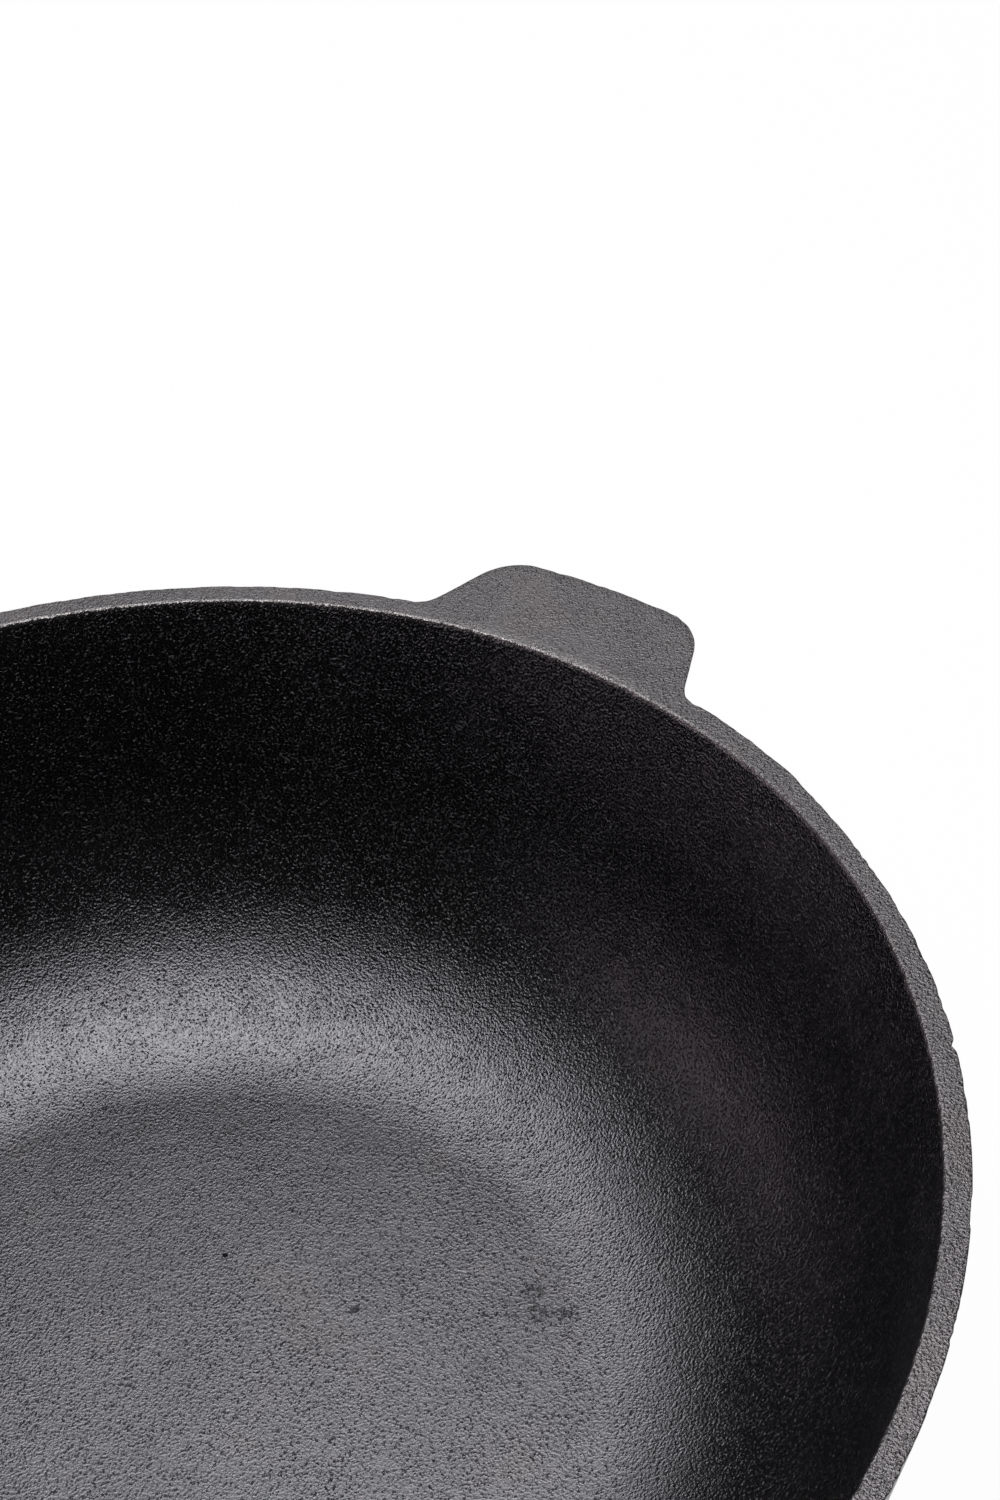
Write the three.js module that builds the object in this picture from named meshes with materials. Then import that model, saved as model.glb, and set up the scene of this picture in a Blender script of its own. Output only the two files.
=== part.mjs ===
// A cast iron saucepan: a deep round pan with a flat floor, a wide rounded heel, a leaning wall, a flat
// level rim, and two short solid ears that stand out flush with the rim.
// Millimetres, +Z up. The origin is the centre of the standing face, and the ears lie along X.
import * as THREE from "three";

// Sizes of the bowl
const MOUTH_DIAMETER = 280; // across the outside of the rim
const HEIGHT = 82; // from the standing face to the top of the rim
const WALL = 4.5; // measured level, so it is also the width of the flat rim
const BASE = 5; // thickness of the floor
const WALL_DRAFT = THREE.MathUtils.degToRad(13); // how far the wall leans out from upright
const HEEL_RADIUS = 54; // inside round between the floor and the wall
const LAND = 2; // plain strip that every zone of the casting keeps past its last curve

// Sizes of an ear, seen from above and from the side
const EAR_REACH = 17; // how far it stands out from the rim
const EAR_ROOT_WIDTH = 55; // where its two sides would meet the rim
const EAR_SIDE_LEAN = THREE.MathUtils.degToRad(21); // how far each side leans in towards the tip
const EAR_CORNER_RADIUS = 11; // round at each corner of the tip
const EAR_ROOT_FILLET = 5.5; // hollow round from a side into the rim
const EAR_THICKNESS = 6;
const EAR_UNDER_FILLET = 5; // hollow round from the underside into the wall

// How finely the round shapes are cut into flats
const TURN_STEPS = 96;
const ARC_STEPS = 8;
const RIM_STEPS = 40;
const FILLET_STEPS = 4;
const LEAST_TURN = 1e-6; // two stations closer than this, in radians, are one

const mouthRadius = MOUTH_DIAMETER / 2;
const tipRadius = mouthRadius + EAR_REACH;
const earUnderside = HEIGHT - EAR_THICKNESS;
const bandBottom = earUnderside - EAR_UNDER_FILLET - LAND;

// The outside and inside of the straight wall, as a radius at each height
const outerWall = (height) => mouthRadius - (HEIGHT - height) * Math.tan(WALL_DRAFT);
const innerWall = (height) => outerWall(height) - WALL;

// The round that runs from a level face into a wall, touching both
function heelRound(radius, faceHeight, wallAt) {
  const height = faceHeight + radius;
  const centre = new THREE.Vector2(wallAt(height) - radius / Math.cos(WALL_DRAFT), height);
  const arc = new THREE.EllipseCurve(centre.x, centre.y, radius, radius, -Math.PI / 2, -WALL_DRAFT, false, 0);
  const points = arc.getPoints(ARC_STEPS);
  return { start: centre.x, end: points[ARC_STEPS].y, points };
}

const innerHeel = heelRound(HEEL_RADIUS, BASE, innerWall);
const outerHeel = heelRound(HEEL_RADIUS + BASE, 0, outerWall);
const discRadius = Math.min(innerHeel.start, outerHeel.start) - LAND;
const heelTop = Math.max(innerHeel.end, outerHeel.end) + LAND;

const point = (radius, height) => new THREE.Vector2(radius, height);

// A ring or a disc from its section, turned about Z
function turned(section) {
  return new THREE.LatheGeometry(section, TURN_STEPS).rotateX(Math.PI / 2);
}

function baseDisc() {
  return turned([point(0, 0), point(discRadius, 0), point(discRadius, BASE), point(0, BASE)]);
}

function heelRing() {
  const foot = point(discRadius, 0);
  const outside = [...outerHeel.points, point(outerWall(heelTop), heelTop)];
  const inside = [...innerHeel.points, point(innerWall(heelTop), heelTop)].reverse();
  return turned([foot, ...outside, ...inside, point(discRadius, BASE), foot]);
}

function sideWall() {
  const foot = point(innerWall(heelTop), heelTop);
  return turned([
    foot,
    point(outerWall(heelTop), heelTop),
    point(outerWall(bandBottom), bandBottom),
    point(innerWall(bandBottom), bandBottom),
    foot,
  ]);
}

// A solid swept about Z through a list of stations, each an angle and the section there. Every section is
// a loop with the same number of points, and the first and last sections, which close the ends, are convex.
function sweptSector(stations) {
  const count = stations[0].section.length;
  const positions = [];
  for (const { angle, section } of stations) {
    for (const { x, y } of section) positions.push(x * Math.cos(angle), x * Math.sin(angle), y);
  }
  const triangles = [];
  for (let station = 0; station < stations.length - 1; station += 1) {
    for (let corner = 0; corner < count; corner += 1) {
      const here = station * count + corner;
      const beside = station * count + ((corner + 1) % count);
      triangles.push(here, here + count, beside + count, here, beside + count, beside);
    }
  }
  const last = (stations.length - 1) * count;
  for (let corner = 1; corner < count - 1; corner += 1) {
    triangles.push(0, corner, corner + 1);
    triangles.push(last, last + corner + 1, last + corner);
  }
  const geometry = new THREE.BufferGeometry();
  geometry.setAttribute("position", new THREE.Float32BufferAttribute(positions, 3));
  geometry.setIndex(triangles);
  geometry.computeVertexNormals();
  return geometry;
}

// The section of the rim band where there is no ear
const plainSection = [
  point(innerWall(bandBottom), bandBottom),
  point(outerWall(bandBottom), bandBottom),
  point(mouthRadius, HEIGHT),
  point(innerWall(HEIGHT), HEIGHT),
];

// The section of the rim band where its edge lies at a given radius. The ear's own edge keeps the wall's
// draft, and a hollow round runs from its underside down into the wall.
function earSection(edgeRadius) {
  const inset = outerWall(earUnderside);
  const filletFoot = earUnderside - EAR_UNDER_FILLET;
  const filletReach = Math.min(EAR_UNDER_FILLET, edgeRadius - mouthRadius);
  const fillet = new THREE.QuadraticBezierCurve(
    point(outerWall(filletFoot), filletFoot),
    point(inset, earUnderside),
    point(inset + filletReach, earUnderside),
  );
  const [bottomIn, bottomOut, , topIn] = plainSection;
  const edgeFoot = point(edgeRadius - EAR_THICKNESS * Math.tan(WALL_DRAFT), earUnderside);
  const hollow = fillet.getPoints(FILLET_STEPS).slice(0, FILLET_STEPS);
  return [bottomIn, bottomOut, ...hollow, edgeFoot, point(edgeRadius, HEIGHT), topIn];
}

// Half of an ear's edge seen from above, from the middle of its tip to the plain rim beside its root
function earEdge() {
  const along = new THREE.Vector2(Math.cos(EAR_SIDE_LEAN), -Math.sin(EAR_SIDE_LEAN));
  const outward = new THREE.Vector2(Math.sin(EAR_SIDE_LEAN), Math.cos(EAR_SIDE_LEAN));
  const centreOfRound = (offset, fromAxis) => {
    const start = point(mouthRadius, EAR_ROOT_WIDTH / 2).addScaledVector(outward, offset);
    const ahead = start.dot(along);
    const run = Math.sqrt(ahead ** 2 - start.lengthSq() + fromAxis ** 2) - ahead;
    return start.addScaledVector(along, run);
  };
  const corner = centreOfRound(-EAR_CORNER_RADIUS, tipRadius - EAR_CORNER_RADIUS);
  const fillet = centreOfRound(EAR_ROOT_FILLET, mouthRadius + EAR_ROOT_FILLET);
  const rimEnd = fillet.angle() + LAND / mouthRadius;
  const side = outward.angle();
  const edge = new THREE.Path();
  edge.absarc(0, 0, tipRadius, 0, corner.angle(), false);
  edge.absarc(corner.x, corner.y, EAR_CORNER_RADIUS, corner.angle(), side, false);
  edge.absarc(fillet.x, fillet.y, EAR_ROOT_FILLET, side + Math.PI, fillet.angle() + Math.PI, true);
  const half = edge.getPoints(ARC_STEPS / 2).map((at) => ({ angle: at.angle(), radius: at.length() }));
  half.push({ angle: rimEnd, radius: mouthRadius });
  return half.filter(({ angle }, index) => index === 0 || angle - half[index - 1].angle > LEAST_TURN);
}

const halfEdge = earEdge();
const earHalfAngle = halfEdge[halfEdge.length - 1].angle;

function ear() {
  const mirrored = halfEdge.slice(1).map(({ angle, radius }) => ({ angle: -angle, radius }));
  const stations = [...mirrored.reverse(), ...halfEdge];
  return sweptSector(stations.map(({ angle, radius }) => ({ angle, section: earSection(radius) })));
}

// The rim between the two ears, on the +Y side
function rimArc() {
  const span = Math.PI - 2 * earHalfAngle;
  const stations = [];
  for (let step = 0; step <= RIM_STEPS; step += 1) {
    stations.push({ angle: earHalfAngle + (span * step) / RIM_STEPS, section: plainSection });
  }
  return sweptSector(stations);
}

// Near-black iron with a dull sand-cast skin inside, and a little lighter on the ground rim and ears
const bowlIron = { color: 0x2b2a2c, roughness: 0.55, metalness: 0.85 };
const rimIron = { color: 0x3a383a, roughness: 0.48, metalness: 0.9 };

function piece(name, geometry, finish, turn = 0) {
  const mesh = new THREE.Mesh(geometry, new THREE.MeshStandardMaterial(finish));
  mesh.name = name;
  mesh.rotation.z = turn;
  return mesh;
}

const bowl = new THREE.Group();
bowl.add(piece("base_disc", baseDisc(), bowlIron));
bowl.add(piece("heel_ring", heelRing(), bowlIron));
bowl.add(piece("side_wall", sideWall(), bowlIron));

const rim = new THREE.Group();
rim.add(piece("rim_back", rimArc(), rimIron));
rim.add(piece("rim_front", rimArc(), rimIron, Math.PI));
rim.add(piece("ear_right", ear(), rimIron));
rim.add(piece("ear_left", ear(), rimIron, Math.PI));

const saucepan = new THREE.Group();
saucepan.add(bowl, rim);

export default saucepan;
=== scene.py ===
"""Dresses the cast iron saucepan and sets it in a plain studio.

Every length is in metres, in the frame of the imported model: +Z up, the origin at the centre of the standing
face, the ears along X. The bowl is turned from its section by Geometry Nodes, the rim and the ears are swept
round it section by section, and one iron finish with a sand-cast skin covers them all.
"""

from __future__ import annotations

import logging
import math
from collections.abc import Mapping
from dataclasses import dataclass, replace
from enum import Enum
from typing import Any

import bmesh
import bpy
import numpy as np
from mathutils import Matrix, Quaternion, Vector


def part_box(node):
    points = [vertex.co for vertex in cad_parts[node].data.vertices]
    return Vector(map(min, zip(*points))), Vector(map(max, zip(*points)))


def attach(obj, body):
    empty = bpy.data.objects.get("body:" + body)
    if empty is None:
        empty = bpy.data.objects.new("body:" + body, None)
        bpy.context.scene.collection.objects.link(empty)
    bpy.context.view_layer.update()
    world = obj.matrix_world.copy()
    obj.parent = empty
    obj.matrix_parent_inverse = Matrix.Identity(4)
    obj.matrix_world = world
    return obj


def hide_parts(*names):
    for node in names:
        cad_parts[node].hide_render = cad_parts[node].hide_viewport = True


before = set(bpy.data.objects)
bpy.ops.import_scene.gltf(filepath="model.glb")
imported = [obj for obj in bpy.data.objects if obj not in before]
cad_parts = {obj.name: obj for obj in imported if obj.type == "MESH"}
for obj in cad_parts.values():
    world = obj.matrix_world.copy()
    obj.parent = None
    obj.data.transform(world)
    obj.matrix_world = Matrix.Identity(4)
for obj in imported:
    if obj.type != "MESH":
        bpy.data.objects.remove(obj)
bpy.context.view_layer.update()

LOG = logging.getLogger("saucepan")
MM = 0.001
BODY = "root"
WELD = 1e-6  # points closer than this are one
CREASE = math.radians(40)  # edges sharper than this stay sharp
SKIN_CHANGE = 0.5 * MM  # the depth over which one finish gives way to another

# How many steps each stretch of a section has
UNDER_STEPS = 14
FLOOR_STEPS = 56
BASE_STEPS = 3
OUTER_HEEL_STEPS = 36
INNER_HEEL_STEPS = 60
OUTER_WALL_STEPS = 14
INNER_WALL_STEPS = 20
JOINT_STEPS = 2
OUTER_BAND_STEPS = 6
INNER_BAND_STEPS = 12
RIM_TOP_STEPS = 10
OUTER_ROUND_STEPS = 5
INNER_ROUND_STEPS = 6
EAR_FILLET_STEPS = 8
EAR_UNDER_STEPS = 5
EAR_ROUND_STEPS = 4

# Where in a noise, which runs from 0 to 1, each feature of the iron's skin starts and is full
HOLLOW_SPAN = (0.6, 0.3)
PIMPLE_SPAN = (0.57, 0.8)
BARE_AND_HIGHLIGHT_SPAN = (0.35, 0.6)
WARM_SPAN = (0.55, 0.8)
MOTTLE_SPAN = (0.25, 0.75)
PATCH_SPAN = (0.3, 0.7)
PINHOLE_SPAN = (0.55, 0.6)
BLEMISH_SPAN = (0.5, 0.6)

# What the features do to the colour and the relief
MOTTLE_SHADE = (0.93, 1.06)
PATCH_RELIEF = (0.85, 1.1)
MOST_WARM = 0.7
# Painted shade: how much of the colour a pinhole takes away.
PINHOLE_SHADE = 0.8
PINHOLE_FLOOR = 0.4  # the share of a pinhole's radius that is full depth
SPOT_FLOOR = 0.3  # the share of a flaw's radius that is full depth
GRAIN_SWING = 2.8  # brings the noise's usual swing up to the whole depth of a grain

# What the features add to the roughness
MOTTLE_DULL = 0.05
HOLLOW_DULL = 0.12
FLAW_DULL = 0.2
BARE_DULL = -0.1

# The fewest and the most waves to a turn, and how many waves there are
DRIFT_WAVES = (2, 7, 4)
EDGE_WAVES = (25, 110, 14)
CHIP_WAVES = (150, 420, 24)
INNER_WAVES = (60, 380, 24)
LEAST_WAVE = 0.4  # height of the smallest wave of a set, as a share of the largest


class Slot(Enum):
    """The record's material slots."""

    COOKING = "cooking_iron"
    RIM = "rim_iron"


class Zone(Enum):
    """The solids of the casting that the dressed pieces stand for."""

    BASE = "base_disc"
    HEEL = "heel_ring"
    WALL = "side_wall"
    RIM_BACK = "rim_back"
    RIM_FRONT = "rim_front"
    EAR_RIGHT = "ear_right"
    EAR_LEFT = "ear_left"


class Wire:
    """An output socket, which Python's operators join through Math nodes."""

    def __init__(self, wiring: Wiring, socket: bpy.types.NodeSocket) -> None:
        """Keeps the socket and the wiring that it belongs to."""
        self.wiring = wiring
        self.socket = socket

    def output(self, name: str) -> Wire:
        """Returns another output of the same node."""
        return Wire(self.wiring, self.socket.node.outputs[name])

    def _math(self, operation: str, first: Any, second: Any) -> Wire:
        """Returns the result of a Math node on two values or wires."""
        return self.wiring.add("ShaderNodeMath", {"operation": operation}, {0: first, 1: second})

    def __add__(self, other: Wire | float) -> Wire:
        """Adds a wire or a number."""
        return self._math("ADD", self, other)

    __radd__ = __add__

    def __sub__(self, other: Wire | float) -> Wire:
        """Takes a wire or a number away."""
        return self._math("SUBTRACT", self, other)

    def __rsub__(self, other: float) -> Wire:
        """Takes this wire away from a number."""
        return self._math("SUBTRACT", other, self)

    def __mul__(self, other: Wire | float) -> Wire:
        """Multiplies by a wire or a number."""
        return self._math("MULTIPLY", self, other)

    __rmul__ = __mul__

    def most(self, other: Wire | float) -> Wire:
        """Returns the larger of this wire and another value."""
        return self._math("MAXIMUM", self, other)

    def step(self, low: float, high: float, start: float = 0.0, end: float = 1.0) -> Wire:
        """Eases from one value to another as this wire rises.

        Args:
            low: where the rise starts.
            high: where the rise ends.
            start: the value below low.
            end: the value above high.

        Returns:
            The eased value.
        """
        sockets = {"Value": self, "From Min": low, "From Max": high, "To Min": start, "To Max": end}
        return self.wiring.add("ShaderNodeMapRange", {"interpolation_type": "SMOOTHSTEP"}, sockets)


class Wiring:
    """Adds the nodes of one tree and links them."""

    def __init__(self, tree: bpy.types.NodeTree) -> None:
        """Keeps the tree that the nodes go into."""
        self.tree = tree

    @staticmethod
    def _find(sockets: bpy.types.bpy_prop_collection, key: str | int) -> bpy.types.NodeSocket:
        """Returns the socket with this place, identifier or name."""
        if isinstance(key, int):
            return sockets[key]
        named = [socket for socket in sockets if key in (socket.identifier, socket.name)]
        return next((socket for socket in named if socket.identifier == key), named[0])

    @classmethod
    def of(cls, owner: bpy.types.Material | bpy.types.World) -> Wiring:
        """Returns the wiring of an owner's emptied tree."""
        owner.use_nodes = True
        owner.node_tree.nodes.clear()
        return cls(owner.node_tree)

    def join(self, socket: bpy.types.NodeSocket, value: Any) -> None:
        """Links a wire to an input socket, or sets the socket to a plain value."""
        if isinstance(value, Wire):
            self.tree.links.new(value.socket, socket)
        elif socket.type == "RGBA":
            socket.default_value = (*value[:3], 1.0)
        else:
            socket.default_value = value

    def add(
        self,
        kind: str,
        settings: Mapping[str, Any] | None = None,
        sockets: Mapping[str | int, Any] | None = None,
        output: str | int = 0,
    ) -> Wire:
        """Adds a node.

        Args:
            kind: the node's type.
            settings: properties of the node, which are set first.
            sockets: values or wires for its inputs, by place, identifier or name.
            output: which of its outputs to return.

        Returns:
            That output, or the first input of a node that has no outputs.
        """
        node = self.tree.nodes.new(kind)
        for name, value in (settings or {}).items():
            setattr(node, name, value)
        for key, value in (sockets or {}).items():
            self.join(self._find(node.inputs, key), value)
        return Wire(self, self._find(node.outputs, output) if node.outputs else node.inputs[0])

    def noise(self, place: Wire, size: float, detail: float, roughness: float = 0.5) -> Wire:
        """Adds a noise whose lumps are about this far across."""
        sockets = {"Vector": place, "Scale": 1.0 / size, "Detail": detail, "Roughness": roughness}
        return self.add("ShaderNodeTexNoise", None, sockets)

    def blend(self, factor: Wire, first: Any, second: Any) -> Wire:
        """Adds a mix of two colours."""
        sockets = {"Factor_Float": factor, "A_Color": first, "B_Color": second}
        return self.add("ShaderNodeMix", {"data_type": "RGBA"}, sockets, "Result_Color")


@dataclass(frozen=True)
class Spot:
    """A flaw in the casting's skin.

    Attributes:
        place: its centre, in the pan's frame.
        radius: how far it reaches.
        depth: how deep it is; a raised one is negative.
        darkness: how much of the iron's colour it takes away.
    """

    place: tuple[float, float, float]
    radius: float
    depth: float
    darkness: float


@dataclass(frozen=True)
class IronFinish:
    """Seasoned cast iron with a sand-cast skin.

    Attributes:
        name: the material's name.
        slot: the record's slot that it belongs to; not used.
        tint: colour of the open skin.
        warm_tint: colour where the seasoning is brown.
        hollow: painted shade: how much darker the hollows between the grains are painted on the floor.
        wall_hollow: how much darker that painted shade is up the heel and the wall.
        metallic: how much of the reflection is metal.
        roughness: mean roughness.
        grain: across one grain of the skin.
        grain_depth: from the top of a grain on the floor to the hollow beside it.
        heel_depth: from the top of a grain on the heel to the hollow beside it.
        wall_depth: from the top of a grain on the wall to the hollow beside it.
        pimples: how much of that depth stands up as separate pimples.
        wear_and_highlight_tint: colour along the rim's inner edge, partly bare iron from wear and partly a
            painted highlight.
        painted_wall_shade: how much of its colour the skin keeps up the wall, a painted shade that darkens
            the wall.
        spots: flaws at known places.
        mottle_size: across one of the wide patches where the seasoning is thicker.
        patch_size: across one of the patches where the grain is coarser.
        pit_spacing: about how far apart pinholes are.
        pit_radius: radius of a pinhole.
        pit_depth: depth of a pinhole.
        blemish_radius: above this radius a flaw is a crumbled patch and not one pit.
        blemish_grain: across one crumb of such a patch.
        heel_start: the heights over which the floor's skin turns into the heel's.
        wall_start: the heights over which the heel's grain turns into the wall's.
        shade_start: the heights over which the colour fades into the painted wall shade.
    """

    name: str
    slot: Slot
    tint: tuple[float, float, float]
    warm_tint: tuple[float, float, float]
    hollow: float
    wall_hollow: float
    metallic: float
    roughness: float
    grain: float
    grain_depth: float
    heel_depth: float
    wall_depth: float
    pimples: float
    wear_and_highlight_tint: tuple[float, float, float]
    painted_wall_shade: float = 1.0
    spots: tuple[Spot, ...] = ()
    mottle_size: float = 22 * MM
    patch_size: float = 9 * MM
    pit_spacing: float = 11 * MM
    pit_radius: float = 0.35 * MM
    pit_depth: float = 0.09 * MM
    blemish_radius: float = 2 * MM
    blemish_grain: float = 0.9 * MM
    heel_start: tuple[float, float] = (5 * MM, 10 * MM)
    wall_start: tuple[float, float] = (20 * MM, 50 * MM)
    shade_start: tuple[float, float] = (10 * MM, 48 * MM)

    def material(self, below: IronFinish | None = None, change: float = 0.0) -> bpy.types.Material:
        """Builds the finish as a material.

        Args:
            below: the finish of the lower faces, where they have another one.
            change: the height where the one finish gives way to the other.

        Returns:
            The new material.
        """
        made = bpy.data.materials.new(self.name)
        wiring = Wiring.of(made)
        place = wiring.add("ShaderNodeTexCoord", output="Object")
        level = wiring.add("ShaderNodeSeparateXYZ", None, {"Vector": place}, "Z")
        colour, dull, height = self._skin(wiring, place, level)
        if below:
            upper = level.step(change - SKIN_CHANGE, change)
            low_colour, low_dull, low_height = below._skin(wiring, place, level)
            colour = wiring.blend(upper, low_colour, colour)
            dull = low_dull + upper * (dull - low_dull)
            height = low_height + upper * (height - low_height)
        bump = wiring.add("ShaderNodeBump", None, {"Strength": 1.0, "Distance": 1.0, "Height": height})
        sockets = {"Base Color": colour, "Metallic": self.metallic, "Roughness": dull, "Normal": bump}
        iron = wiring.add("ShaderNodeBsdfPrincipled", None, sockets)
        wiring.add("ShaderNodeOutputMaterial", None, {"Surface": iron})
        return made

    def _skin(self, wiring: Wiring, place: Wire, level: Wire) -> tuple[Wire, Wire, Wire]:
        """Adds the nodes of the skin.

        Args:
            wiring: the material's wiring.
            place: where the surface point is.
            level: how high the surface point is.

        Returns:
            The skin's colour, its roughness and its height over the true surface.
        """
        grain = wiring.noise(place, self.grain, detail=2.0)
        mottle = wiring.noise(place, self.mottle_size, detail=3.0, roughness=0.6)
        patch = wiring.noise(place, self.patch_size, detail=2.0)
        pits = self._pits(wiring, place)
        dark, sunk = self._spots(wiring, place)
        # The rim's inner edge is painted brighter: partly bare iron from wear, partly a painted highlight.
        wear_and_highlight = wiring.add("ShaderNodeAttribute", {"attribute_name": "wear_and_highlight"}, output="Fac")
        bare_and_highlight = wear_and_highlight * grain.step(*BARE_AND_HIGHLIGHT_SPAN)

        up = level.step(*self.heel_start)
        # Painted shade: the hollows between the grains are painted darker, more so up the heel and the wall.
        hollow = grain.step(*HOLLOW_SPAN)
        shade = 1.0 - (self.hollow + up * (self.wall_hollow - self.hollow)) * hollow
        shade = shade * mottle.step(*MOTTLE_SPAN, *MOTTLE_SHADE)
        # Painted shade in the pinholes, and the flaws' own darkness.
        shade = shade * (1.0 - PINHOLE_SHADE * pits) * (1.0 - dark)
        # Painted shade: the colour darkens up the wall.
        shade = shade * level.step(*self.shade_start, 1.0, self.painted_wall_shade)
        skin = wiring.blend(mottle.step(*WARM_SPAN, 0.0, MOST_WARM), self.tint, self.warm_tint)
        # Painted highlight, mixed with wear: the brighter colour along the inner edge.
        skin = wiring.blend(bare_and_highlight, skin, self.wear_and_highlight_tint)
        colour = wiring.add("ShaderNodeVectorMath", {"operation": "SCALE"}, {0: skin, "Scale": shade})
        dull = self.roughness + MOTTLE_DULL * (mottle - 0.5) + HOLLOW_DULL * hollow
        dull = dull + FLAW_DULL * dark + BARE_DULL * bare_and_highlight
        pebbles = (1.0 - self.pimples) * grain + self.pimples * grain.step(*PIMPLE_SPAN)
        depth = self.grain_depth + up * (self.heel_depth - self.grain_depth)
        depth = depth + level.step(*self.wall_start) * (self.wall_depth - self.heel_depth)
        relief = GRAIN_SWING * pebbles * patch.step(*PATCH_SPAN, *PATCH_RELIEF) * depth
        return colour, dull, relief - pits * self.pit_depth - sunk

    def _pits(self, wiring: Wiring, place: Wire) -> Wire:
        """Scatters pinholes: one in some of the cells of a cell pattern.

        Args:
            wiring: the material's wiring.
            place: where the surface point is.

        Returns:
            1 inside a pinhole and 0 outside.
        """
        sockets = {"Vector": place, "Scale": 1.0 / self.pit_spacing, "Randomness": 1.0}
        cell = wiring.add("ShaderNodeTexVoronoi", None, sockets)
        reach = self.pit_radius / self.pit_spacing
        chosen = wiring.add("ShaderNodeSeparateColor", None, {"Color": cell.output("Color")})
        return cell.step(reach, PINHOLE_FLOOR * reach) * chosen.step(*PINHOLE_SPAN)

    def _spots(self, wiring: Wiring, place: Wire) -> tuple[Wire | float, Wire | float]:
        """Places the flaws that have a known place.

        Args:
            wiring: the material's wiring.
            place: where the surface point is.

        Returns:
            How dark and how deep the flaws are at the point.
        """
        dark: Wire | float = 0.0
        sunk: Wire | float = 0.0
        rough = wiring.noise(place, self.blemish_grain, detail=2.0, roughness=0.6).step(*BLEMISH_SPAN)
        for spot in self.spots:
            ends = {0: place, 1: spot.place}
            apart = wiring.add("ShaderNodeVectorMath", {"operation": "DISTANCE"}, ends, "Value")
            inside = apart.step(spot.radius, SPOT_FLOOR * spot.radius)
            if spot.radius > self.blemish_radius:
                inside = inside * rough
            dark = dark + spot.darkness * inside
            sunk = sunk + spot.depth * inside
        return dark, sunk


@dataclass(frozen=True)
class PanSizes:
    """Sizes of the casting.

    Attributes:
        height: from the standing face to the top of the rim.
        mouth_radius: outside of the rim.
        tip_radius: from the axis to the tip of an ear.
        band_bottom: where the rim band meets the wall.
        heel_top: where the heel meets the wall.
        floor: height of the inside floor, which is the thickness of the base.
        disc_radius: where the base disc meets the heel.
        ear_half_angle: half of the turn that an ear's sector of the rim takes.
        draft: how far the wall leans out from upright.
        wall: thickness of the wall, measured level.
        heel_radius: inside round between the floor and the wall.
        ear_root_width: where an ear's sides would meet the rim.
        ear_side_lean: how far each side of an ear leans in towards its tip.
        ear_corner_radius: round at each corner of an ear's tip.
        ear_root_fillet: hollow round from an ear's side into the rim.
        ear_thickness: thickness of an ear at its edge.
        ear_under_fillet: hollow round from an ear's underside into the wall.
    """

    height: float
    mouth_radius: float
    tip_radius: float
    band_bottom: float
    heel_top: float
    floor: float
    disc_radius: float
    ear_half_angle: float
    draft: float
    wall: float = 4.5 * MM
    heel_radius: float = 54 * MM
    ear_root_width: float = 55 * MM
    ear_side_lean: float = math.radians(21)
    ear_corner_radius: float = 11 * MM
    ear_root_fillet: float = 5.5 * MM
    ear_thickness: float = 6 * MM
    ear_under_fillet: float = 5 * MM

    @classmethod
    def measured(cls) -> PanSizes:
        """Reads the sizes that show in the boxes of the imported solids.

        Returns:
            The casting's sizes.
        """
        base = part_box(Zone.BASE.value)[1]
        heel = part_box(Zone.HEEL.value)[1]
        rim_foot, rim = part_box(Zone.RIM_BACK.value)
        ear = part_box(Zone.EAR_RIGHT.value)[1]
        return cls(
            height=rim[2],
            mouth_radius=rim[1],
            tip_radius=ear[0],
            band_bottom=rim_foot[2],
            heel_top=heel[2],
            floor=base[2],
            disc_radius=base[0],
            ear_half_angle=math.asin(ear[1] / rim[1]),
            draft=math.atan((rim[1] - heel[0]) / (rim[2] - heel[2])),
        )

    def outer_wall(self, height: float) -> float:
        """Returns the radius of the outside of the wall at a height."""
        return self.mouth_radius - (self.height - height) * math.tan(self.draft)

    def inner_wall(self, height: float) -> float:
        """Returns the radius of the inside of the wall at a height."""
        return self.outer_wall(height) - self.wall


Section = list[tuple[float, float]]


def spread(start: tuple[float, float], end: tuple[float, float], steps: int) -> Section:
    """Places points along a straight stretch of a section.

    Args:
        start: its first point, as radius and height.
        end: its last point, which is left out.
        steps: how many steps the stretch has.

    Returns:
        The points, one for each step.
    """
    shares = np.arange(steps) / steps
    return [tuple(np.array(start) + share * (np.array(end) - np.array(start))) for share in shares]


def rounded(
    before: tuple[float, float],
    corner: tuple[float, float],
    after: tuple[float, float],
    radius: float,
    steps: int,
) -> Section:
    """Rounds a corner of a section.

    Args:
        before: a point on the stretch that runs up to the corner.
        corner: where the two stretches would meet.
        after: a point on the stretch that leaves it.
        radius: radius of the round.
        steps: how many steps the round has.

    Returns:
        The points of the round, from one stretch to the other.
    """
    at = Vector(corner)
    back = (Vector(before) - at).normalized()
    ahead = (Vector(after) - at).normalized()
    half = back.angle(ahead) / 2
    centre = at + (back + ahead).normalized() * (radius / math.sin(half))
    first = at + back * (radius / math.tan(half)) - centre
    sweep = first.angle_signed(at + ahead * (radius / math.tan(half)) - centre)
    points = []
    for step in range(steps + 1):
        points.append(tuple(centre + Matrix.Rotation(-sweep * step / steps, 2) @ first))
    return points


def dress(mesh: bpy.types.Mesh, zone: Zone, finish: IronFinish) -> None:
    """Makes a finished mesh a piece of the pan, riding on its body.

    Args:
        mesh: the mesh, in the pan's frame, with its material.
        zone: the solid that it stands for.
        finish: the finish that it has; not used.
    """
    piece = bpy.data.objects.new(f"{zone.value}_casting", mesh)
    bpy.context.scene.collection.objects.link(piece)
    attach(piece, BODY)
    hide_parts(zone.value)
    LOG.info("%s: %d faces", piece.name, len(mesh.polygons))


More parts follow.
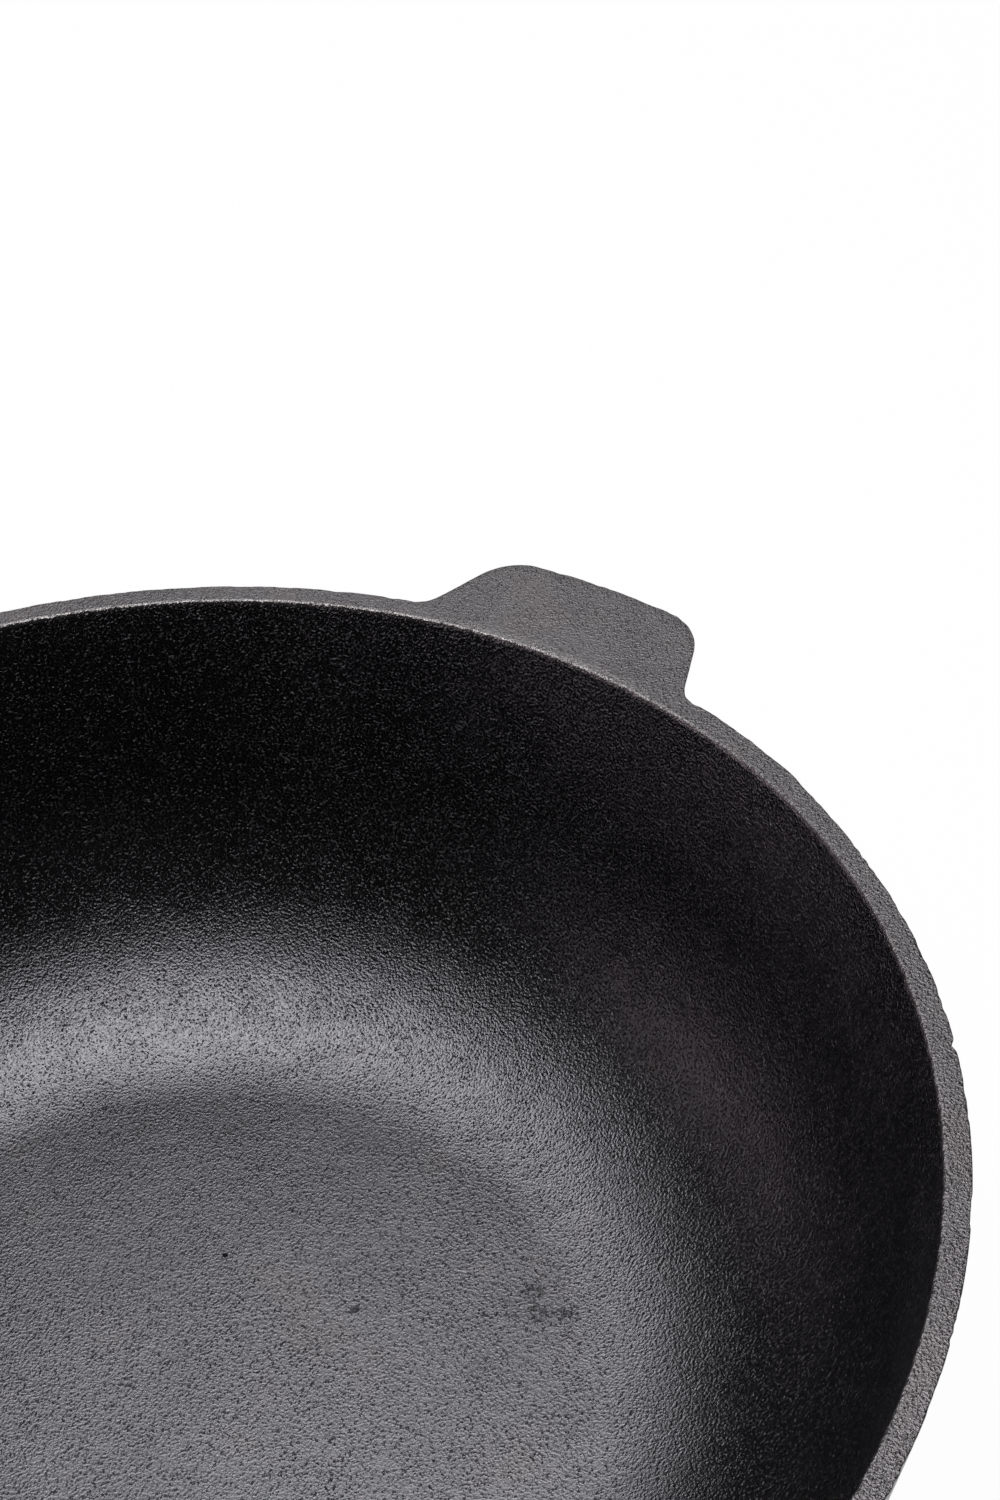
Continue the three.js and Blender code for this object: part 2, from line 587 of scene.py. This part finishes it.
@dataclass
class TurnedBowl:
    """The floor, heel and wall, each turned from its section.

    Attributes:
        sizes: sizes of the casting.
        finish: iron of the cooking faces.
        steps: how many steps a full turn has.
        unevenness: how far the cast skin wanders from its true shape.
        lump: across one lump of that unevenness.
        flat_foot: the heights over which the unevenness grows above the standing face.
        flat_top: how far below the rim band it starts to fade.
    """

    sizes: PanSizes
    finish: IronFinish
    steps: int = 480
    unevenness: float = 0.16 * MM
    lump: float = 20 * MM
    flat_foot: tuple[float, float] = (0.5 * MM, 4 * MM)
    flat_top: float = 5 * MM

    def _heel(self, radius: float, face: float, inset: float, steps: int) -> Section:
        """Traces the round from a level face up into the wall.

        Args:
            radius: radius of the round.
            face: height of the level face.
            inset: how far inside the outer wall the round's wall lies.
            steps: how many steps the round has.

        Returns:
            Points from the level face to the wall.
        """
        height = face + radius
        draft = self.sizes.draft
        centre = self.sizes.outer_wall(height) - inset - radius / math.cos(draft)
        angles = np.linspace(-math.pi / 2, -draft, steps + 1)
        return [(centre + radius * math.cos(a), height + radius * math.sin(a)) for a in angles]

    def base_section(self) -> Section:
        """Returns the base disc's section, from the axis round to the axis."""
        edge, top = self.sizes.disc_radius, self.sizes.floor
        under = spread((0.0, 0.0), (edge, 0.0), UNDER_STEPS)
        side = spread((edge, 0.0), (edge, top), BASE_STEPS)
        over = spread((edge, top), (0.0, top), FLOOR_STEPS)
        return [*under, *side, *over, (0.0, top)]

    def heel_section(self) -> Section:
        """Returns the heel ring's section, a closed loop."""
        sizes = self.sizes
        edge, floor, top = sizes.disc_radius, sizes.floor, sizes.heel_top
        outside = self._heel(sizes.heel_radius + floor, 0.0, 0.0, OUTER_HEEL_STEPS)
        inside = self._heel(sizes.heel_radius, floor, sizes.wall, INNER_HEEL_STEPS)[::-1]
        return [
            *spread((edge, 0.0), outside[0], JOINT_STEPS),
            *outside,
            *spread((sizes.outer_wall(top), top), (sizes.inner_wall(top), top), JOINT_STEPS),
            (sizes.inner_wall(top), top),
            *inside,
            *spread((edge, floor), (edge, 0.0), BASE_STEPS),
        ]

    def wall_section(self) -> Section:
        """Returns the side wall's section, a closed loop."""
        sizes = self.sizes
        foot, top = sizes.heel_top, sizes.band_bottom
        corners = [
            (sizes.outer_wall(foot), foot),
            (sizes.outer_wall(top), top),
            (sizes.inner_wall(top), top),
            (sizes.inner_wall(foot), foot),
        ]
        counts = (OUTER_WALL_STEPS, JOINT_STEPS, INNER_WALL_STEPS, JOINT_STEPS)
        loop: Section = []
        for corner, following, count in zip(corners, corners[1:] + corners[:1], counts):
            loop += spread(corner, following, count)
        return loop

    def _tree(self) -> bpy.types.NodeTree:
        """Builds the node tree that turns a section about Z and gives it the uneven skin of a casting.

        Returns:
            The tree, with named inputs for its sizes.
        """
        tree = bpy.data.node_groups.new("turned_casting", "GeometryNodeTree")
        sockets = {
            "Section": "NodeSocketGeometry",
            "Turn Steps": "NodeSocketInt",
            "Turn Radius": "NodeSocketFloat",
            "Unevenness": "NodeSocketFloat",
            "Lump": "NodeSocketFloat",
            "Top": "NodeSocketFloat",
            "Iron": "NodeSocketMaterial",
        }
        for name, kind in sockets.items():
            tree.interface.new_socket(name, in_out="INPUT", socket_type=kind)
        tree.interface.new_socket("Casting", in_out="OUTPUT", socket_type="NodeSocketGeometry")
        wiring = Wiring(tree)
        given = wiring.add("NodeGroupInput")

        section = wiring.add("GeometryNodeMeshToCurve", None, {"Mesh": given})
        turn = {"Resolution": given.output("Turn Steps"), "Radius": given.output("Turn Radius")}
        ring = wiring.add("GeometryNodeCurvePrimitiveCircle", None, turn)
        skin = wiring.add("GeometryNodeCurveToMesh", None, {"Curve": ring, "Profile Curve": section})
        skin = wiring.add("GeometryNodeMergeByDistance", None, {"Geometry": skin, "Distance": WELD})

        place = wiring.add("GeometryNodeInputPosition")
        level = wiring.add("ShaderNodeSeparateXYZ", None, {"Vector": place}, "Z")
        scale = wiring.add("ShaderNodeMath", {"operation": "DIVIDE"}, {0: 1.0, 1: given.output("Lump")})
        pattern = {"Vector": place, "Scale": scale, "Detail": 1.5}
        lumps = wiring.add("ShaderNodeTexNoise", None, pattern, "Color")
        middle = (0.5, 0.5, 0.5)
        wander = wiring.add("ShaderNodeVectorMath", {"operation": "SUBTRACT"}, {0: lumps, 1: middle})
        standing = level.step(*self.flat_foot)
        below_top = (given.output("Top") - level).step(0.0, self.flat_top)
        amount = given.output("Unevenness") * standing * below_top
        shift = wiring.add("ShaderNodeVectorMath", {"operation": "SCALE"}, {0: wander, "Scale": amount})
        skin = wiring.add("GeometryNodeSetPosition", None, {"Geometry": skin, "Offset": shift})

        skin = wiring.add("GeometryNodeSetShadeSmooth", {"domain": "FACE"}, {"Geometry": skin})
        angle = wiring.add("GeometryNodeInputMeshEdgeAngle")
        test = {"data_type": "FLOAT", "operation": "GREATER_THAN"}
        sharp = wiring.add("FunctionNodeCompare", test, {0: angle, 1: CREASE})
        kept = {"Geometry": skin, "Selection": sharp, "Shade Smooth": False}
        skin = wiring.add("GeometryNodeSetShadeSmooth", {"domain": "EDGE"}, kept)
        skin = wiring.add("GeometryNodeRealizeInstances", None, {"Geometry": skin})
        dress = {"Geometry": skin, "Material": given.output("Iron")}
        skin = wiring.add("GeometryNodeSetMaterial", None, dress)
        wiring.add("NodeGroupOutput", None, {0: skin})
        return tree

    def _turned(self, tree: bpy.types.NodeTree, section: Section, iron: bpy.types.Material) -> bpy.types.Mesh:
        """Turns a section into a mesh.

        Args:
            tree: the node tree that does it.
            section: the section, as radius and height.
            iron: the material.

        Returns:
            The plain mesh.
        """
        radius = self.sizes.mouth_radius
        outline = bpy.data.meshes.new("section")
        points = [(r - radius, -z, 0.0) for r, z in section]
        edges = [(i, (i + 1) % len(points)) for i in range(len(points))]
        outline.from_pydata(points, edges, [])
        holder = bpy.data.objects.new("section", outline)
        bpy.context.scene.collection.objects.link(holder)
        turning = holder.modifiers.new("turning", "NODES")
        turning.node_group = tree
        values = {
            "Turn Steps": self.steps,
            "Turn Radius": radius,
            "Unevenness": self.unevenness,
            "Lump": self.lump,
            "Top": self.sizes.band_bottom,
            "Iron": iron,
        }
        for item in tree.interface.items_tree:
            if item.in_out == "INPUT" and item.name in values:
                turning[item.identifier] = values[item.name]
        evaluated = holder.evaluated_get(bpy.context.evaluated_depsgraph_get())
        mesh = bpy.data.meshes.new_from_object(evaluated)
        bpy.data.objects.remove(holder)
        bpy.data.meshes.remove(outline)
        return mesh

    def build(self, iron: bpy.types.Material) -> None:
        """Builds the three turned pieces.

        Args:
            iron: the material of the cooking faces.
        """
        tree = self._tree()
        sections = {
            Zone.BASE: self.base_section(),
            Zone.HEEL: self.heel_section(),
            Zone.WALL: self.wall_section(),
        }
        for zone, section in sections.items():
            dress(self._turned(tree, section, iron), zone, self.finish)


@dataclass(frozen=True)
class Swell:
    """A stretch of the rim's edge that lies farther out, or farther in where its height is negative.

    Attributes:
        angle: where its middle is.
        height: how far out it lies.
        width: about half of its width.
        power: 2 for a round top, and more for a flatter one.
    """

    angle: float
    height: float
    width: float
    power: int = 2

    def at(self, angles: np.ndarray) -> np.ndarray:
        """Returns how far out the edge lies at each angle."""
        turn = (angles - self.angle + math.pi) % (2 * math.pi) - math.pi
        return self.height * np.exp(-((turn / self.width) ** self.power))


@dataclass
class RimBand:
    """The top band of the wall with its flat rim and its two ears, swept round the axis.

    Attributes:
        sizes: sizes of the casting.
        finish: iron of the rim.
        outer_round: round along the rim's outer edge.
        inner_round: round along the rim's inner edge.
        fillet_share: the most of an ear's underside that its hollow round takes.
        ear_rise: how an ear's edge leaves its lower corner, outwards and upwards.
        rim_step: about how far apart the sections of the plain rim are.
        ear_step: about how far apart the sections of an ear are.
        seed: seed of the waviness of the fettled edge.
        wear_and_highlight_width: how far the brightened band reaches from the inner edge, partly wear and
            partly a painted highlight.
        wear_and_highlight_side: the side of the rim where the inner edge is most worn and most brightened by
            the painted highlight.
        wear_and_highlight_spread: how wide that side is: the band grows with the cosine of the turn from it.
        wear_and_highlight_start: how much of that cosine shows no band.
        wear_and_highlight_least: the band on the other side.
        fettled: how far the edge is ground back.
        drift: height of the longest waves of the edge.
        wave: height of the middling waves.
        chip: height of the shortest waves.
        outer_swells: the deep nick in the outer edge, and the swell left beside an ear.
        inner_swells: where the inner edge is out of round.
    """

    sizes: PanSizes
    finish: IronFinish
    outer_round: float = 0.2 * MM
    inner_round: float = 0.6 * MM
    fillet_share: float = 0.6
    ear_rise: tuple[float, float] = (1 * MM, 4 * MM)
    rim_step: float = math.radians(0.25)
    ear_step: float = math.radians(0.1)
    seed: int = 11
    wear_and_highlight_width: float = 0.7 * MM
    wear_and_highlight_side: float = math.radians(50)
    wear_and_highlight_spread: float = 2.0
    wear_and_highlight_start: float = 0.2
    wear_and_highlight_least: float = 0.15
    fettled: float = 0.07 * MM
    drift: float = 0.08 * MM
    wave: float = 0.15 * MM
    chip: float = 0.08 * MM
    outer_swells: tuple[Swell, ...] = (
        Swell(math.radians(-51.8), -0.55 * MM, math.radians(0.35)),
        Swell(math.radians(-20), 0.6 * MM, math.radians(8), 4),
    )
    inner_swells: tuple[Swell, ...] = (Swell(math.radians(-29), 0.4 * MM, math.radians(14), 4),)

    def __post_init__(self) -> None:
        """Draws the random waves of the two edges."""
        draw = np.random.default_rng(self.seed)
        outer = ((DRIFT_WAVES, self.drift), (EDGE_WAVES, self.wave), (CHIP_WAVES, self.chip))
        self._outer_waves = np.vstack([self._draw(draw, *waves, height) for waves, height in outer])
        self._inner_waves = self._draw(draw, *INNER_WAVES, self.chip)

    @staticmethod
    def _draw(draw: np.random.Generator, low: int, high: int, count: int, height: float) -> np.ndarray:
        """Draws waves.

        Args:
            draw: where the random numbers come from.
            low: the fewest waves to a turn.
            high: the most waves to a turn.
            count: how many waves there are.
            height: about how high they are together.

        Returns:
            Rows of waves to a turn, phase and height.
        """
        turns = draw.integers(low, high, count)
        phases = draw.uniform(0.0, 2 * math.pi, count)
        shares = draw.uniform(LEAST_WAVE, 1.0, count)
        return np.column_stack((turns, phases, height * (shares / np.sqrt(count))))

    @staticmethod
    def _wander(waves: np.ndarray, angles: np.ndarray) -> np.ndarray:
        """Returns how far an edge with these waves wanders at each angle."""
        return sum(height * np.sin(turns * angles + phase) for turns, phase, height in waves)

    def ear_reach(self, angles: np.ndarray, inset: float = 0.0) -> np.ndarray:
        """Traces the edge of the rim with its ears, seen from above.

        Args:
            angles: where round the rim.
            inset: how far inside the true edge the line runs.

        Returns:
            The line's radius at each angle.
        """
        sizes = self.sizes
        mouth, tip = sizes.mouth_radius - inset, sizes.tip_radius - inset
        corner_round, fillet_round = sizes.ear_corner_radius - inset, sizes.ear_root_fillet + inset
        lean = sizes.ear_side_lean
        along = np.array((math.cos(lean), -math.sin(lean)))
        outward = np.array((math.sin(lean), math.cos(lean)))
        root = np.array((sizes.mouth_radius, sizes.ear_root_width / 2)) - inset * outward

        def centre(offset: float, from_axis: float) -> np.ndarray:
            """Returns the centre of a round beside the ear's side, at a distance from the axis."""
            start = root + offset * outward
            ahead = start @ along
            return start + along * (math.sqrt(ahead**2 - start @ start + from_axis**2) - ahead)

        corner = centre(-corner_round, tip - corner_round)
        fillet = centre(fillet_round, mouth + fillet_round)

        def turn_of(point: np.ndarray) -> float:
            """Returns the angle of a point seen from the axis."""
            return math.atan2(point[1], point[0])

        from_ear = np.abs((angles + math.pi / 2) % math.pi - math.pi / 2)
        spoke = np.stack((np.cos(from_ear), np.sin(from_ear)))

        def crossing(middle: np.ndarray, radius: float, side: float) -> np.ndarray:
            """Returns where the spokes cross a round, on its near or far side."""
            ahead = middle @ spoke
            return ahead + side * np.sqrt(np.maximum(ahead**2 - middle @ middle + radius**2, 0.0))

        stretches = [
            (turn_of(corner), np.full_like(from_ear, tip)),
            (turn_of(corner + corner_round * outward), crossing(corner, corner_round, 1.0)),
            (turn_of(fillet - fillet_round * outward), (root @ outward) / (outward @ spoke)),
            (turn_of(fillet), crossing(fillet, fillet_round, -1.0)),
        ]
        edge = np.full_like(from_ear, mouth)
        for end, radius in reversed(stretches):
            edge = np.where(from_ear <= end, radius, edge)
        return edge

    def edges(self, angles: np.ndarray) -> tuple[np.ndarray, np.ndarray]:
        """Traces the fettled edges, a little wavy and chipped.

        Args:
            angles: where round the rim.

        Returns:
            The radius of the upper edge and of an ear's lower edge, which the draft sets in, at each angle.
        """
        away = np.minimum(self._wander(self._outer_waves, angles) - self.fettled, 0.0)
        away += sum(swell.at(angles) for swell in self.outer_swells)
        inset = self.sizes.ear_thickness * math.tan(self.sizes.draft)
        return self.ear_reach(angles) + away, self.ear_reach(angles, inset) + away

    def section(self, edge: float, lower_edge: float, inner: float, plain: bool) -> Section:
        """Traces the band's section.

        Args:
            edge: radius of the outer edge.
            lower_edge: radius of an ear's lower edge.
            inner: how far the inner edge wanders.
            plain: whether the section has no ear.

        Returns:
            A closed loop, from the foot of the inside round the outside and back down the inside.
        """
        sizes = self.sizes
        foot, top = sizes.band_bottom, sizes.height
        inner_foot = (sizes.inner_wall(foot), foot)
        inner_top = (sizes.inner_wall(top) + inner, top)
        outer_foot = (sizes.outer_wall(foot), foot)
        outer_top = (edge, top)
        points = spread(inner_foot, outer_foot, JOINT_STEPS)
        if plain:
            points += spread(outer_foot, outer_top, OUTER_BAND_STEPS)
            below = outer_foot
        else:
            below = (lower_edge, top - sizes.ear_thickness)
            points += self._underside(outer_foot, below)
        points += rounded(below, outer_top, inner_top, self.outer_round, OUTER_ROUND_STEPS)
        across = rounded(outer_top, inner_top, inner_foot, self.inner_round, INNER_ROUND_STEPS)
        points += spread(points[-1], across[0], RIM_TOP_STEPS)[1:]
        points += across
        points += spread(across[-1], inner_foot, INNER_BAND_STEPS)[1:]
        return points

    def _underside(self, outer_foot: tuple[float, float], tip: tuple[float, float]) -> Section:
        """Traces the outside of the wall, the hollow round and the underside of an ear.

        Args:
            outer_foot: where the outside of the wall leaves the band.
            tip: the lower edge of the ear's tip.

        Returns:
            Points from the wall out to the ear's lower edge.
        """
        sizes = self.sizes
        hollow_foot = tip[1] - sizes.ear_under_fillet
        start = np.array((sizes.outer_wall(hollow_foot), hollow_foot))
        corner = np.array((min(sizes.outer_wall(tip[1]), tip[0]), tip[1]))
        reach = min(sizes.ear_under_fillet, self.fillet_share * max(tip[0] - corner[0], 0.0))
        end = corner + np.array((reach, 0.0))
        points = spread(outer_foot, tuple(start), JOINT_STEPS)
        for share in np.linspace(0.0, 1.0, EAR_FILLET_STEPS + 1):
            points.append(tuple((1 - share) ** 2 * start + 2 * share * (1 - share) * corner + share**2 * end))
        length = tip[0] - end[0]
        if length > 2 * self.outer_round:
            above = (tip[0] + self.ear_rise[0], tip[1] + self.ear_rise[1])
            points += spread(tuple(end), tip, EAR_UNDER_STEPS)[1:]
            points += rounded(tuple(end), tip, above, self.outer_round, EAR_ROUND_STEPS)
        else:
            points += spread(tuple(end), tip, EAR_UNDER_STEPS + EAR_ROUND_STEPS)[1:]
            points.append(tip)
        return points

    def swept(self, start: float, end: float, step: float, plain: bool) -> bpy.types.Mesh:
        """Sweeps the section through a turn.

        Args:
            start: angle of the first section.
            end: angle of the last section.
            step: about how far apart the sections are.
            plain: whether the stretch has no ear.

        Returns:
            A closed mesh with an attribute along its inner edge that marks wear and a painted highlight.
        """
        angles = np.linspace(start, end, round((end - start) / step) + 1)
        inner = self._wander(self._inner_waves, angles) + sum(swell.at(angles) for swell in self.inner_swells)
        loops = [self.section(*radii, plain) for radii in zip(*self.edges(angles), inner)]
        count = len(loops[0])
        flat = np.array(loops)
        spokes = np.stack((np.cos(angles), np.sin(angles)), axis=1)
        points = np.empty((len(angles), count, 3))
        points[:, :, :2] = flat[:, :, :1] * spokes[:, None, :]
        points[:, :, 2] = flat[:, :, 1]
        mesh = bpy.data.meshes.new("rim_band")
        faces = [tuple(range(count)), tuple((len(angles) - 1) * count + i for i in reversed(range(count)))]
        for station in range(len(angles) - 1):
            for corner in range(count):
                here = station * count + corner
                beside = station * count + (corner + 1) % count
                faces.append((here, here + count, beside + count, beside))
        mesh.from_pydata(points.reshape(-1, 3).tolist(), [], faces)
        # Marks where the inner edge is painted brighter, partly for wear and partly as a painted highlight.
        wear_and_highlight = mesh.attributes.new("wear_and_highlight", "FLOAT", "POINT")
        wear_and_highlight.data.foreach_set("value", self._wear_and_highlight(flat, angles).ravel())
        self._clean(mesh)
        return mesh

    def _wear_and_highlight(self, flat: np.ndarray, angles: np.ndarray) -> np.ndarray:
        """Works out how far the inner edge is brightened, partly as wear and partly as a painted highlight,
        which fades away from the inner edge and round the rim.

        Args:
            flat: the points of every section, as radius and height.
            angles: where the sections stand.

        Returns:
            A share of the brightened colour for each point, partly bare iron and partly a painted highlight.
        """
        edge = np.array((self.sizes.inner_wall(self.sizes.height), self.sizes.height))
        near = np.clip(1.0 - np.linalg.norm(flat - edge, axis=2) / self.wear_and_highlight_width, 0.0, 1.0)
        side = self.wear_and_highlight_spread * np.cos(angles - self.wear_and_highlight_side) - self.wear_and_highlight_start
        side = np.clip(side, self.wear_and_highlight_least, 1.0)
        return (near * side[:, None]).astype(np.float32)

    @staticmethod
    def _clean(mesh: bpy.types.Mesh) -> None:
        """Closes points that fall together and shades the mesh smooth, with creases at sharp edges."""
        work = bmesh.new()
        work.from_mesh(mesh)
        bmesh.ops.remove_doubles(work, verts=work.verts, dist=WELD)
        bmesh.ops.recalc_face_normals(work, faces=work.faces)
        for edge in work.edges:
            edge.smooth = edge.calc_face_angle(0.0) < CREASE
        for face in work.faces:
            face.smooth = True
        work.to_mesh(mesh)
        work.free()

    def build(self, iron: bpy.types.Material) -> None:
        """Builds the two arcs of the rim and the two ears.

        Args:
            iron: the material of the rim.
        """
        half = self.sizes.ear_half_angle
        stretches = {
            Zone.RIM_BACK: (half, math.pi - half, self.rim_step, True),
            Zone.RIM_FRONT: (math.pi + half, 2 * math.pi - half, self.rim_step, True),
            Zone.EAR_RIGHT: (-half, half, self.ear_step, False),
            Zone.EAR_LEFT: (math.pi - half, math.pi + half, self.ear_step, False),
        }
        for zone, stretch in stretches.items():
            mesh = self.swept(*stretch)
            mesh.materials.append(iron)
            dress(mesh, zone, self.finish)


def heading(azimuth: float, elevation: float) -> Vector:
    """Returns the direction at an azimuth from +X and an elevation."""
    level = math.cos(elevation)
    return Vector((level * math.cos(azimuth), level * math.sin(azimuth), math.sin(elevation)))


@dataclass(frozen=True)
class Lamp:
    """A soft panel of light.

    Attributes:
        name: its name.
        azimuth: where it stands round the pan, from +X.
        elevation: how high it stands.
        distance: how far from the pan.
        width: across the panel.
        depth: the panel's other side.
        brightness: how bright the panel itself looks, where 1 is white.
        colour: the light's colour.
    """

    name: str
    azimuth: float
    elevation: float
    distance: float
    width: float
    depth: float
    brightness: float
    colour: tuple[float, float, float] = (1.0, 1.0, 1.0)

    def build(self, target: Vector) -> None:
        """Hangs the panel, facing a point.

        Args:
            target: the point that it faces.
        """
        panel = bpy.data.lights.new(self.name, "AREA")
        panel.shape = "ELLIPSE"
        panel.size, panel.size_y = self.width, self.depth
        panel.color = self.colour
        panel.energy = self.brightness * math.pi**2 / 4 * self.width * self.depth
        lamp = bpy.data.objects.new(self.name, panel)
        away = heading(self.azimuth, self.elevation)
        lamp.location = target + away * self.distance
        lamp.rotation_mode = "QUATERNION"
        lamp.rotation_quaternion = (-away).to_track_quat("-Z", "Y")
        bpy.context.scene.collection.objects.link(lamp)


@dataclass(frozen=True)
class Viewpoint:
    """The camera: a long lens above the near left of the rim, aimed just inside the right-hand ear.

    Attributes:
        azimuth: where it stands round the pan, from +X.
        elevation: how high it stands above the rim.
        distance: from the middle of the mouth.
        aim: where its axis meets the plane of the rim.
        roll: how far it leans.
        lens: focal length, in millimetres.
        sensor: long side of the picture, in millimetres.
        clip: the nearest and the farthest that it sees.
    """

    azimuth: float = math.radians(-127.84)
    elevation: float = math.radians(48.78)
    distance: float = 475.4 * MM
    aim: tuple[float, float] = (109.5 * MM, -6.9 * MM)
    roll: float = math.radians(-7.2)
    lens: float = 70.0
    sensor: float = 36.0
    clip: tuple[float, float] = (0.01, 100.0)

    def build(self, sizes: PanSizes) -> None:
        """Sets up the camera and makes it the scene's own.

        Args:
            sizes: sizes of the casting.
        """
        lens = bpy.data.cameras.new("camera")
        lens.lens, lens.sensor_width = self.lens, self.sensor
        lens.clip_start, lens.clip_end = self.clip
        camera = bpy.data.objects.new("camera", lens)
        mouth = Vector((0.0, 0.0, sizes.height))
        camera.location = mouth + self.distance * heading(self.azimuth, self.elevation)
        ahead = Vector((*self.aim, sizes.height)) - camera.location
        camera.rotation_mode = "QUATERNION"
        camera.rotation_quaternion = ahead.to_track_quat("-Z", "Y") @ Quaternion((0, 0, 1), self.roll)
        bpy.context.scene.collection.objects.link(camera)
        bpy.context.scene.camera = camera


@dataclass
class Studio:
    """A white floor with a low white wall round it, soft panels of light and a dim room.

    Attributes:
        lamps: the panels.
        floor_radius: how far the floor reaches.
        floor_steps: how many sides it has.
        backdrop_height: height of the wall at the floor's edge.
        floor_white: colour of the floor.
        floor_glow: how much of the floor's look is plain white, with the rest left to light and shadow.
        room: brightness of the room round the panels.
    """

    lamps: tuple[Lamp, ...]
    floor_radius: float = 20.0
    floor_steps: int = 96
    backdrop_height: float = 0.8
    floor_white: float = 0.9
    floor_glow: float = 0.975
    room: float = 0.012

    def build(self, sizes: PanSizes) -> None:
        """Builds the floor, hangs the lamps and sets the room's light.

        Args:
            sizes: sizes of the casting.
        """
        self._floor()
        for lamp in self.lamps:
            lamp.build(Vector((0.0, 0.0, sizes.height / 2)))
        world = bpy.data.worlds.new("room")
        wiring = Wiring.of(world)
        air = wiring.add("ShaderNodeBackground", None, {"Color": (1, 1, 1), "Strength": self.room})
        wiring.add("ShaderNodeOutputWorld", None, {"Surface": air})
        bpy.context.scene.world = world
        bpy.context.scene.view_settings.view_transform = "Standard"

    def _floor(self) -> None:
        """Lays a round white floor that keeps a faint shadow, with its edge turned up as a backdrop."""
        mesh = bpy.data.meshes.new("floor")
        work = bmesh.new()
        bmesh.ops.create_circle(
            work,
            cap_ends=True,
            radius=self.floor_radius,
            segments=self.floor_steps,
        )
        edge = bmesh.ops.extrude_edge_only(work, edges=[side for side in work.edges if side.is_boundary])
        top = [corner for corner in edge["geom"] if isinstance(corner, bmesh.types.BMVert)]
        bmesh.ops.translate(work, verts=top, vec=(0.0, 0.0, self.backdrop_height))
        work.to_mesh(mesh)
        work.free()
        white = bpy.data.materials.new("floor_white")
        wiring = Wiring.of(white)
        path = wiring.add("ShaderNodeLightPath", output="Is Camera Ray")
        seen = path.most(path.output("Is Glossy Ray")).most(path.output("Is Transmission Ray"))
        paint = wiring.add("ShaderNodeBsdfDiffuse", None, {"Color": (self.floor_white,) * 3})
        glow = wiring.add("ShaderNodeEmission", None, {"Color": (1, 1, 1), "Strength": 1.0})
        surface = wiring.add("ShaderNodeMixShader", None, {0: self.floor_glow * seen, 1: paint, 2: glow})
        wiring.add("ShaderNodeOutputMaterial", None, {"Surface": surface})
        mesh.materials.append(white)
        floor = bpy.data.objects.new("floor", mesh)
        bpy.context.scene.collection.objects.link(floor)


COOKING_IRON = IronFinish(
    name="cooking_iron",
    slot=Slot.COOKING,
    tint=(0.112, 0.11, 0.118),
    warm_tint=(0.116, 0.109, 0.111),
    hollow=0.18,
    wall_hollow=0.45,
    metallic=1.0,
    roughness=0.2,
    grain=0.52 * MM,
    grain_depth=0.106 * MM,
    heel_depth=0.118 * MM,
    wall_depth=0.24 * MM,
    pimples=0.4,
    wear_and_highlight_tint=(0.175, 0.155, 0.142),
    # Painted shade: the wall keeps less of its colour.
    painted_wall_shade=0.74,
    spots=(
        Spot((57.2 * MM, -40.9 * MM, 5 * MM), 2.6 * MM, 0.08 * MM, 0.5),
        Spot((56.1 * MM, -48.8 * MM, 5 * MM), 3.2 * MM, 0.08 * MM, 0.5),
        Spot((53.6 * MM, -44.1 * MM, 5 * MM), 3.4 * MM, 0.08 * MM, 0.5),
        Spot((37.4 * MM, -14.4 * MM, 5 * MM), 1.2 * MM, 0.1 * MM, 0.6),
        Spot((35 * MM, 14 * MM, 5 * MM), 0.6 * MM, 0.2 * MM, 0.95),
        Spot((101.4 * MM, 12.8 * MM, 11.3 * MM), 0.9 * MM, 0.1 * MM, 0.7),
        Spot((51.8 * MM, 57.1 * MM, 5 * MM), 0.9 * MM, 0.1 * MM, 0.6),
    ),
)

RIM_IRON = IronFinish(
    name="rim_iron",
    slot=Slot.RIM,
    tint=(0.136, 0.1285, 0.1345),
    warm_tint=(0.141, 0.1265, 0.1255),
    hollow=0.08,
    wall_hollow=0.08,
    metallic=1.0,
    roughness=0.28,
    grain=0.44 * MM,
    grain_depth=0.115 * MM,
    heel_depth=0.115 * MM,
    wall_depth=0.115 * MM,
    pimples=0.2,
    # The inner edge's brighter colour is partly wear and partly a painted highlight.
    wear_and_highlight_tint=(0.36, 0.345, 0.335),
)

WARM_WHITE = (1.0, 0.85, 0.92)

STUDIO = Studio(
    lamps=(
        Lamp("overhead_panel", math.radians(75), math.radians(80), 1.1, 0.95, 1.0, 4.8),
        Lamp("back_panel", math.radians(36), math.radians(35), 1.4, 0.85, 1.15, 1.4),
        Lamp("left_panel", math.radians(120), math.radians(12), 1.5, 1.2, 0.5, 4.0, WARM_WHITE),
    ),
)


def main() -> None:
    """Builds the pan and its studio."""
    logging.basicConfig(level=logging.INFO, format="%(name)s: %(message)s")
    sizes = PanSizes.measured()
    Viewpoint().build(sizes)
    STUDIO.build(sizes)
    TurnedBowl(sizes, COOKING_IRON).build(COOKING_IRON.material())
    wall = replace(COOKING_IRON, spots=())
    RimBand(sizes, RIM_IRON).build(RIM_IRON.material(wall, sizes.height - SKIN_CHANGE))


if __name__ == "__main__":
    main()
